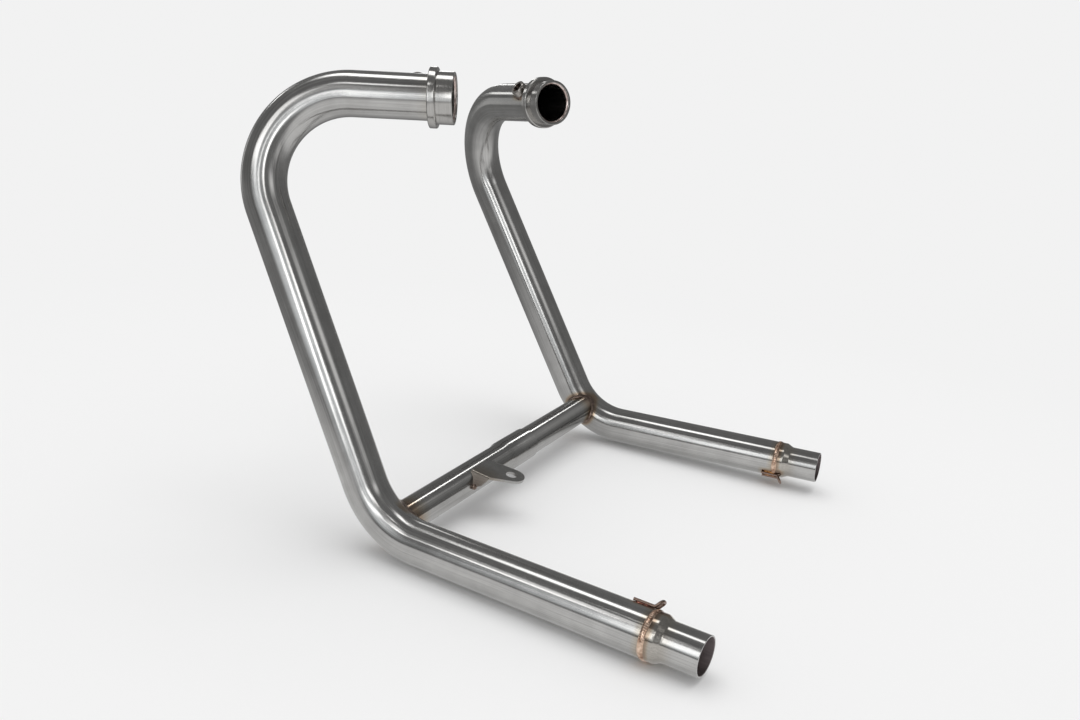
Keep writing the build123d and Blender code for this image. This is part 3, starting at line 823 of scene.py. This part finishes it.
def area(name, at, target, width, tall, radiance, lights=part_only, soft=0.25, colour=(1, 1, 1)):
    """Soft box at a place, facing a target, whose brightness fades over a share of its size at the edges."""
    lamp = bpy.data.lights.new(name, "AREA")
    tree = Tree(lamp)
    split = tree.node("SeparateXYZ", {0: tree.node("NewGeometry").outputs["Parametric"]}).outputs
    fades = []
    for side in (0, 1):
        from_middle = tree.math("ABSOLUTE", tree.math("SUBTRACT", split[side], 0.5))
        fades.append(tree.span(from_middle, 0.5 - soft, 0.5, 1.0, 0.0, smooth=True))
    tree.feed(tree["Emission"].inputs["Strength"], tree.math("MULTIPLY", *fades))
    lamp.shape, lamp.size, lamp.size_y = "RECTANGLE", width, tall
    lamp.energy, lamp.color = radiance * pi * width * tall, colour
    obj = bpy.data.objects.new(name, lamp)
    obj.location = Vector(at)
    obj.rotation_euler = (Vector(at) - Vector(target)).to_track_quat("Z", "Y").to_euler()
    obj.visible_camera = False
    obj.light_linking.receiver_collection = lights
    bpy.context.scene.collection.objects.link(obj)


CROSS_MIDDLE, LEFT_STUB_MIDDLE, NEAR_TOP = (0.0, -0.06, 0.05), (0.13, -0.05, 0.05), (0.17, -0.16, 0.45)
area("overhead", (0.0, -0.45, 1.40), (0.0, -0.449, 0.0), 0.40, 1.15, 3.0)
area("side_bar", (1.0, -0.49, 0.76), (0.0, -0.49, 0.60), 0.58, 0.15, 3.8)
area("side_post", (1.02, -0.06, 0.46), (0.0, -0.06, 0.40), 0.13, 0.58, 3.6)
area("side_top", (1.0, -0.45, 1.0), (0.0, -0.45, 0.70), 0.46, 0.32, 1.9)
area("camera_box", (1.08, 0.41, 0.74), (0.0, 0.1, 0.45), 0.22, 0.66, 3.3)
area("room", (1.30, 0.05, 0.52), (0.0, 0.05, 0.50), 1.75, 0.95, 0.82, colour=(0.93, 0.97, 1.0))
area("rear_fill", (0.48, 1.38, 1.28), (0.0, 0.0, 0.2), 1.25, 0.75, 1.45, soft=0.5)
area("rim", (-0.97, -0.87, 0.80), (0.0, 0.0, 0.25), 0.12, 0.45, 2.9, not_cross)
area("wall_strip", (-1.30, -0.27, 1.10), CROSS_MIDDLE, 0.16, 0.70, 8.2, cross_only)
area("wall_glow", (-1.15, 0.40, 0.62), CROSS_MIDDLE, 1.2, 1.0, 0.24, cross_only, soft=0.4)
area("wall_line", (-1.04, 0.45, 0.775), LEFT_STUB_MIDDLE, 0.09, 0.40, 1.2, left_stub_only, soft=0.5)
area("top_line", (0.85, -0.14, 1.30), NEAR_TOP, 0.26, 0.22, 5.0, near_only, soft=0.5)
area("top_glow", (1.08, -0.06, 1.03), NEAR_TOP, 0.40, 0.40, 0.60, near_only, soft=0.5)
area("front_strip", (-0.22, -1.36, 0.92), (0.0, -0.2, 0.42), 0.32, 0.18, 2.9)
area("outlet_fill", (0.40, 1.50, 0.40), (0.2, 0.0, 0.1), 0.8, 0.5, 0.6)
area("front_fill", (-0.05, -1.40, 0.38), (-0.05, 0.0, 0.38), 0.28, 0.6, 0.6)
SUN_FROM = Vector((-0.18, -0.10, 0.97))
for name, energy, spread in (("floor_light", 1.08, 60), ("floor_fill", 1.60, 165)):
    lamp = bpy.data.lights.new(name, "SUN")
    lamp.energy, lamp.angle = energy, radians(spread)
    sun = bpy.data.objects.new(name, lamp)
    sun.rotation_euler = SUN_FROM.to_track_quat("Z", "Y").to_euler()
    sun.visible_glossy = False
    bpy.context.scene.collection.objects.link(sun)

# Camera: picture, focal length and optical centre in pixels, place in mm as in the source, angles in radians
PICTURE = (1080.0, 720.0)
FOCAL, CENTRE = 1055.13, (560.0, 410.0)
CAMERA_AT = (1030.949, 566.221, 462.110)
YAW, PITCH, ROLL = 2.01899, 0.31724, 0.11382
camera = bpy.data.cameras.new("camera")
view = bpy.data.objects.new("camera", camera)
bpy.context.scene.collection.objects.link(view)
bpy.context.scene.camera = view
forward = Vector((-sin(YAW) * cos(PITCH), cos(YAW) * cos(PITCH), -sin(PITCH)))
level = forward.cross(Vector((0, 0, 1))).normalized()
upward = level.cross(forward)
pose = Matrix((level * cos(ROLL) + upward * sin(ROLL), upward * cos(ROLL) - level * sin(ROLL), -forward))
pose = pose.transposed().to_4x4()
pose.translation = Vector(metres(CAMERA_AT))
view.matrix_world = pose
camera.sensor_width = 36.0
camera.lens = FOCAL * camera.sensor_width / PICTURE[0]
camera.shift_x = (PICTURE[0] / 2 - CENTRE[0]) / PICTURE[0]
camera.shift_y = (CENTRE[1] - PICTURE[1] / 2) / PICTURE[0]
camera.clip_start, camera.clip_end = 0.05, 200.0
bpy.context.scene.view_settings.view_transform = "Standard"
